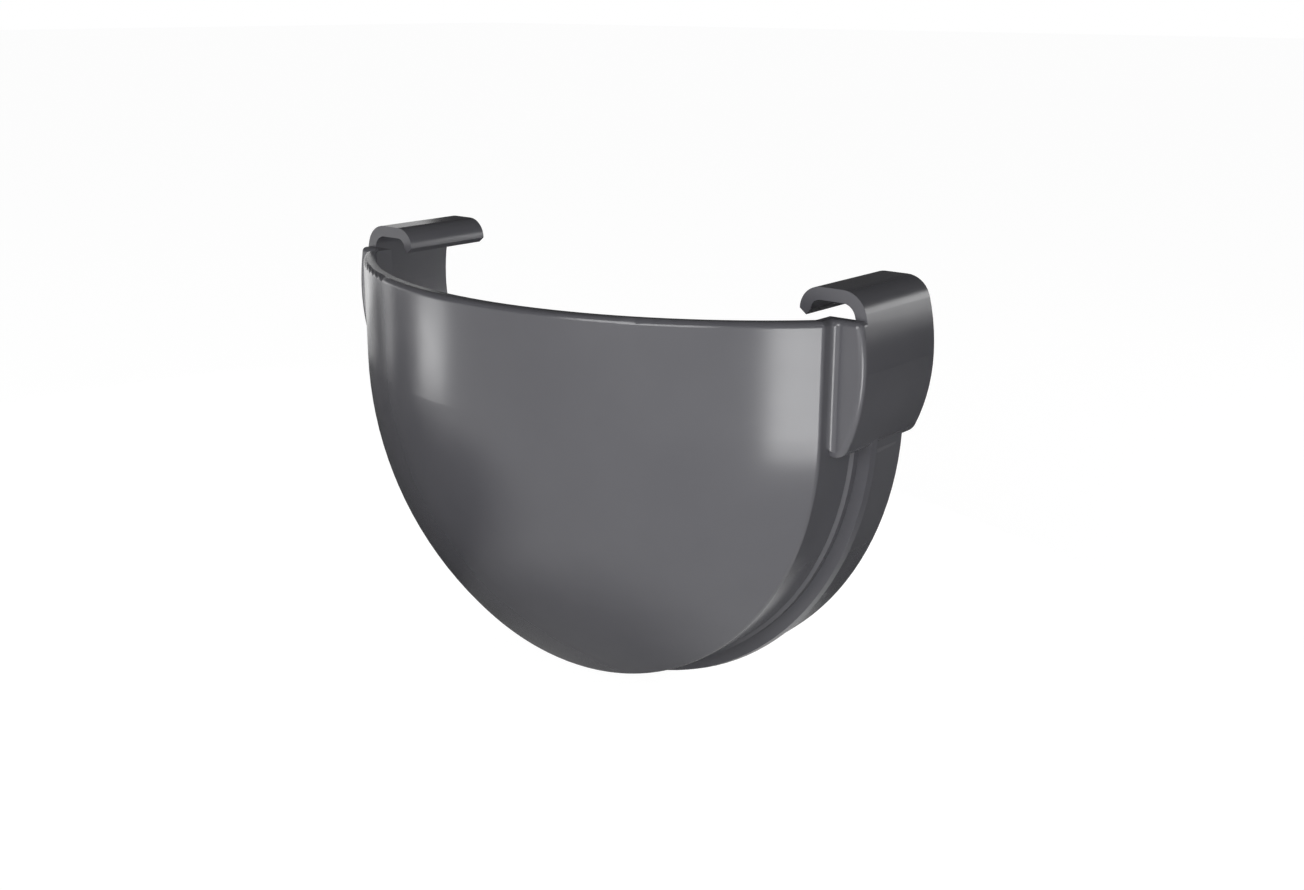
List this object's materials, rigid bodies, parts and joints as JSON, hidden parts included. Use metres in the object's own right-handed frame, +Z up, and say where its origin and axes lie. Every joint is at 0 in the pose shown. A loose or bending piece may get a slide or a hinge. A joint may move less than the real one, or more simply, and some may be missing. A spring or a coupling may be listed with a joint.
{
  "type": "gutter end cap",
  "caption": "Moulded end cap that closes a half-round plastic gutter: bowed face, socket ring round the gutter's end, and hooks over both of its edges.",
  "frame": {"origin": "midway between the hooks, level with the cap's top edge, on the plane of the hooks' front ends and the webs' back faces", "axes": "+X across the gutter from hook to hook, +Y along the gutter from the closed face to the open socket, +Z up"},
  "size_m": [0.1424, 0.0576, 0.0963],
  "materials": {
    "graphite_plastic": "moulded satin plastic, graphite grey all through"
  },
  "bodies": {
    "root": {"end_cap": "graphite_plastic"}
  },
  "joints": []
}
